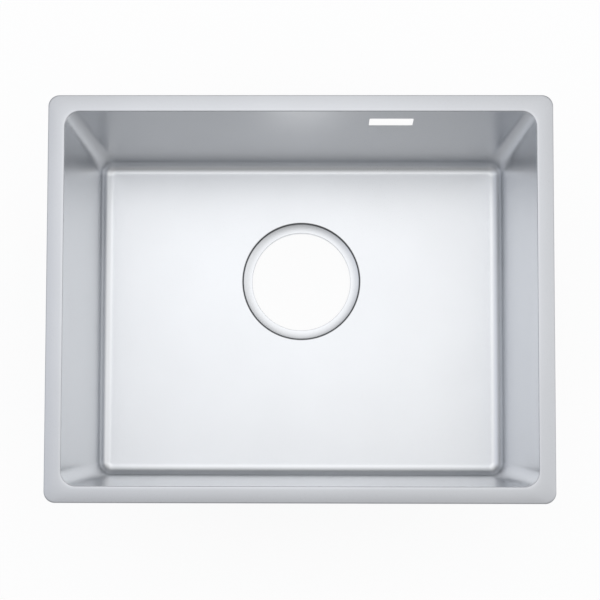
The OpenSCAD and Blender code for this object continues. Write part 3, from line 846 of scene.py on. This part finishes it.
class SINK_OT_toes(bpy.types.Operator):
    """Set the toes that press up against the worktop"""
    bl_idname = "sink.toes"
    bl_label = "Toes"

    def execute(self, context):
        fit = context.scene.sink_fittings
        at = clamp_places(fit)
        steel = plated_steel("Steel_case_hardened", linear("#9a9ca1"), 0.4, 0.6, 0.8)
        low, r, thick = at["arm_z"] + PLAY, 4.5, 2.4
        top = low + thick
        section = np.array([[0, top], [r - 0.3, top], [r - 0.08, top - 0.08], [r, top - 0.3],
                            [r, low + 0.3], [r - 0.08, low + 0.08], [r - 0.3, low], [0, low]])
        disc = turned(section[:, 0], section[:, 1], 32, at["pivot"], -fit.arm_reach / MM)
        # Three ridges: across, they rise from 0.3 mm inside the disc to their crest; along, they end low
        half_ridge, crest_half, ridge_r, sunk = 0.4, 0.1, 4.3, 0.3
        peak = np.array([0.05, 0.8, 0.8, 0.05])
        slope = ((-half_ridge, 0), (-crest_half, 0.92), (crest_half, 0.92), (half_ridge, 0))
        ridges = []
        for x in (-2.25, 0, 2.25):
            half = math.sqrt(ridge_r ** 2 - (abs(x) + half_ridge) ** 2)
            y = np.array([-half, -half + 0.5, half - 0.5, half])
            grid = np.stack([np.stack([np.full(4, x + w), y, top + h * peak + (1 - h) * -sunk], 1)
                             for w, h in slope], 0)
            base = np.stack([grid[0], grid[-1]])
            ends = [np.stack([grid[:2, k], grid[:1:-1, k]]) for k in (0, -1)]
            ridges += [(g + [at["pivot"], -fit.arm_reach / MM, 0], False) for g in (grid, base, *ends)]
        on_clamps("toe", "ridged", "toe", [(disc, True)] + ridges, steel, 40)
        return {"FINISHED"}


class SINK_OT_screws(bpy.types.Operator):
    """Cut the jack screws: thread, neck and cross-recessed head"""
    bl_idname = "sink.screws"
    bl_label = "Jack screws"

    def execute(self, context):
        fit = context.scene.sink_fittings
        at = clamp_places(fit)
        zinc = plated_steel("Steel_zinc_plated_screw", linear("#cdd0d5"), 0.28, 0.5, 0.84)
        toe = at["arm_z"] + PLAY
        # The head hangs below the arm and its boss by the whole rise and a little room
        boss, rise, room = 4, 24, 0.75
        head = toe - 0.25 - fit.arm_sheet / MM - boss - rise - room
        pitch, r, depth = fit.thread_pitch / MM, 2.5, 0.42
        steps = 32
        angle = np.linspace(0, 2 * np.pi, steps, endpoint=False)
        neck = turned([0, 1.5, 1.6, 1.6], [toe + 1.6, toe + 1.6, toe + 1.5, toe], steps)
        # Thread: the radius falls by the depth as a triangle wave of height over pitch, less the turn's share
        z = np.linspace(toe - 0.05, head, int((toe - head) / pitch * 6))
        phase = z[:, None] / pitch - angle[None] / (2 * np.pi)
        wave = np.clip(np.abs((phase % 1) - 0.5) * 2.5, 0, 1)
        fade = np.clip(np.minimum(z - head, toe - 0.05 - z) / 0.8, 0, 1)[:, None]
        radius = r - depth * (1 - wave * fade)
        height = np.broadcast_to(z[:, None], radius.shape)
        thread = np.stack([radius * np.cos(angle), radius * np.sin(angle), height], -1)
        pan = turned([3.9, 4.3, 4.4, 4.4, 4.25], head - np.array([0, 0.12, 0.5, 2.3, 2.85]), steps)
        # Face: almost flat, with a cross recess about 1.25 mm wide whose sides fall steeply and whose floor
        # rises outwards
        rings = np.concatenate([[3.8, 3.0], np.linspace(2.6, 0, 15)])[:, None]
        x, y = rings * np.cos(angle), rings * np.sin(angle)
        cross = np.clip((0.75 - np.minimum(np.abs(x), np.abs(y))) / 0.25, 0, 1)
        inside = cross * np.clip((2.5 - rings) / 0.2, 0, 1)
        face = np.stack([x, y, head - 3.15 - 0.05 * (1 - rings / 3.8) + inside * (1.8 - 0.35 * rings)], -1)
        screw = np.concatenate([neck, thread, pan, face]) + [at["pivot"], -fit.arm_reach / MM, 0]
        on_clamps("screw", "threaded", "screw", [(screw, True)], zinc, 40)
        return {"FINISHED"}


# Stage

# Camera: place in metres, turn in degrees and shift of the view, solved by a scratch program so that the
# edges of rim, floor and drain fall where the photo has them
CAMERA_PLACE = (0.0119, -0.1887, 1.6046)
CAMERA_TURN = (3.167, 0.466, 0.127)
CAMERA_SHIFT = 0.17
# Half the studio floor's side and the tent's radius, in metres
FLOOR_HALF = 6
TENT_RADIUS = 3.0
# Glow of the whole cloth, so that no edge of the steel mirrors black
TENT_GLOW = 0.35
# Lamps behind the cloth: degrees from the zenith, degrees round from +X to +Y, width, strength, tint.
# The key hangs over the sink and leans back: the floor mirrors it whole, the front wall mirrors its middle by
# way of the floor, and the back wall only its edge. The fills light the rim and the coves.
LAMPS = {
    "key": (10, 100, 25, 1.0, "#ffffff"),
    "right_fill": (45, 0, 25, 0.8, "#ffffff"),
    "left_fill": (45, 180, 25, 0.6, "#eef3ff"),
    "back_fill": (45, 90, 25, 0.4, "#ffffff"),
}


def tent_light(way):
    """The tent's light in each direction: the cloth's glow, and for each lamp its strength and tint times
    exp(-(angle / width)^2), with the angle between the direction and the lamp's own."""
    total = np.full_like(way, TENT_GLOW)
    for zenith, around, width, strength, tint in LAMPS.values():
        z, a = math.radians(zenith), math.radians(around)
        lamp = np.array([math.sin(z) * math.cos(a), math.sin(z) * math.sin(a), math.cos(z)])
        angle = np.degrees(np.arccos(np.clip(way @ lamp, -1, 1)))
        total += strength * np.exp(-(angle / width) ** 2)[..., None] * np.array(linear(tint))
    return total


def seen_rays(tree, x, y):
    """1 for camera, glossy and transmission rays and 0 for all others, from nodes that start at (x, y)."""
    path = node(tree, "ShaderNodeLightPath", (x, y))
    seen = path.outputs["Is Camera Ray"]
    for step, ray in ((1, "Is Glossy Ray"), (2, "Is Transmission Ray")):
        seen = node(tree, "ShaderNodeMath", (x + 220 * step, y), {"operation": "MAXIMUM"},
                    i0=seen, i1=path.outputs[ray]).outputs[0]
    return seen


def staged(name, points, closed, material):
    """A grid of the studio, such as its floor, which isn't part of the sink."""
    mesh = bpy.data.meshes.new(name)
    mesh.from_pydata(points.reshape(-1, 3).tolist(), [], quads(*points.shape[:2], closed, 0).tolist())
    mesh.materials.append(material)
    made = bpy.data.objects.new(name, mesh)
    bpy.context.scene.collection.objects.link(made)
    return made


class SINK_OT_stage(bpy.types.Operator):
    """Set the studio: pale floor, white surroundings, light tent and camera"""
    bl_idname = "sink.stage"
    bl_label = "Studio"

    def execute(self, context):
        stage = context.scene.sink_stage
        scene = context.scene
        scene.view_settings.view_transform = "Standard"

        # Surroundings: white to the eye and in mirrors, a little dimmer as light
        world = bpy.data.worlds.new("Studio")
        scene.world = world
        world.use_nodes = True
        tree = world.node_tree
        tree.nodes.clear()
        strength = node(tree, "ShaderNodeMapRange", (-250, 100), Value=seen_rays(tree, -900, 200),
                        i3=0.8, i4=1.0)
        background = node(tree, "ShaderNodeBackground", (0, 0), Color=(1, 1, 1, 1),
                          Strength=strength.outputs[0])
        node(tree, "ShaderNodeOutputWorld", (250, 0), Surface=background.outputs[0])

        # Floor: white to the camera, with a share of matt paint that keeps the sink's shadow
        paper, tree = new_material("Studio_floor_matt_paint")
        share = node(tree, "ShaderNodeMath", (-50, 300), {"operation": "MULTIPLY"},
                     i0=seen_rays(tree, -700, 300), i1=0.88)
        paint = node(tree, "ShaderNodeBsdfDiffuse", (-50, 0), Color=(*stage.floor, 1))
        glow = node(tree, "ShaderNodeEmission", (-50, -200), Color=(1, 1, 1, 1), Strength=1.03)
        mixed = node(tree, "ShaderNodeMixShader", (200, 100), Fac=share.outputs[0],
                     i1=paint.outputs[0], i2=glow.outputs[0])
        node(tree, "ShaderNodeOutputMaterial", (450, 100), Surface=mixed.outputs[0])
        x, y = np.meshgrid(*[np.linspace(-FLOOR_HALF, FLOOR_HALF, 5)] * 2)
        staged("studio_floor", np.stack([x, y, 0 * x - 0.2 * MM], -1), False, paper)

        # Camera: over the sink's front, tilted a little to the back as in the photo
        lens = bpy.data.cameras.new("camera")
        lens.lens, lens.sensor_width, lens.shift_y = stage.lens, 36, CAMERA_SHIFT
        lens.clip_start, lens.clip_end = 0.05, 50
        eye = bpy.data.objects.new("camera", lens)
        eye.location = CAMERA_PLACE
        eye.rotation_euler = tuple(math.radians(a) for a in CAMERA_TURN)
        scene.collection.objects.link(eye)
        scene.camera = eye

        # Light tent: a dome whose cloth glows where the lamps behind it shine
        cloth, tree = new_material("Studio_tent_cloth")
        shine = node(tree, "ShaderNodeAttribute", (-300, 0), {"attribute_name": "shine"})
        glow = node(tree, "ShaderNodeEmission", (0, 0), Color=shine.outputs["Color"], Strength=stage.tent)
        node(tree, "ShaderNodeOutputMaterial", (250, 0), Surface=glow.outputs[0])
        zenith = np.radians(np.linspace(0, 88, 67))[:, None]
        around = np.radians(np.linspace(0, 360, 144, endpoint=False))[None]
        way = np.stack([np.sin(zenith) * np.cos(around), np.sin(zenith) * np.sin(around),
                        np.cos(zenith) + 0 * around], -1)
        light = tent_light(way)
        tent = staged("light_tent", way * TENT_RADIUS, True, cloth)
        shine = tent.data.attributes.new("shine", "FLOAT_COLOR", "POINT")
        shine.data.foreach_set("color", np.concatenate([light, np.ones_like(light[..., :1])], -1).ravel())
        tent.visible_camera = False
        return {"FINISHED"}


# Panel and registration

BUILD_ORDER = (SINK_OT_bowl, SINK_OT_rim, SINK_OT_seal, SINK_OT_pads, SINK_OT_rails, SINK_OT_brackets,
               SINK_OT_arms, SINK_OT_toes, SINK_OT_screws, SINK_OT_stage)
SETTINGS = {"sink_bowl": SinkBowlSettings, "sink_rim": SinkRimSettings, "sink_fittings": SinkFittingSettings,
            "sink_stage": SinkStageSettings}


class SINK_PT_build(bpy.types.Panel):
    """Lists the sink's pieces in the sidebar"""
    bl_idname = "SINK_PT_build"
    bl_label = "Sink"
    bl_space_type = "VIEW_3D"
    bl_region_type = "UI"
    bl_category = "Sink"

    def draw(self, context):
        for operator in BUILD_ORDER:
            self.layout.operator(operator.bl_idname)
        for group in SETTINGS:
            box = self.layout.box()
            settings = getattr(context.scene, group)
            for key in settings.__annotations__:
                box.prop(settings, key)


def register():
    """Registers the settings, the operators and the panel."""
    for name, group in SETTINGS.items():
        bpy.utils.register_class(group)
        setattr(bpy.types.Scene, name, PointerProperty(type=group))
    for item in (*BUILD_ORDER, SINK_PT_build):
        bpy.utils.register_class(item)


def unregister():
    """Takes back what register() did."""
    for item in reversed((*BUILD_ORDER, SINK_PT_build)):
        bpy.utils.unregister_class(item)
    for name, group in SETTINGS.items():
        delattr(bpy.types.Scene, name)
        bpy.utils.unregister_class(group)


def main():
    """Builds every piece in order."""
    register()
    for operator in BUILD_ORDER:
        group, name = operator.bl_idname.split(".")
        getattr(getattr(bpy.ops, group), name)()


if __name__ == "__main__":
    main()
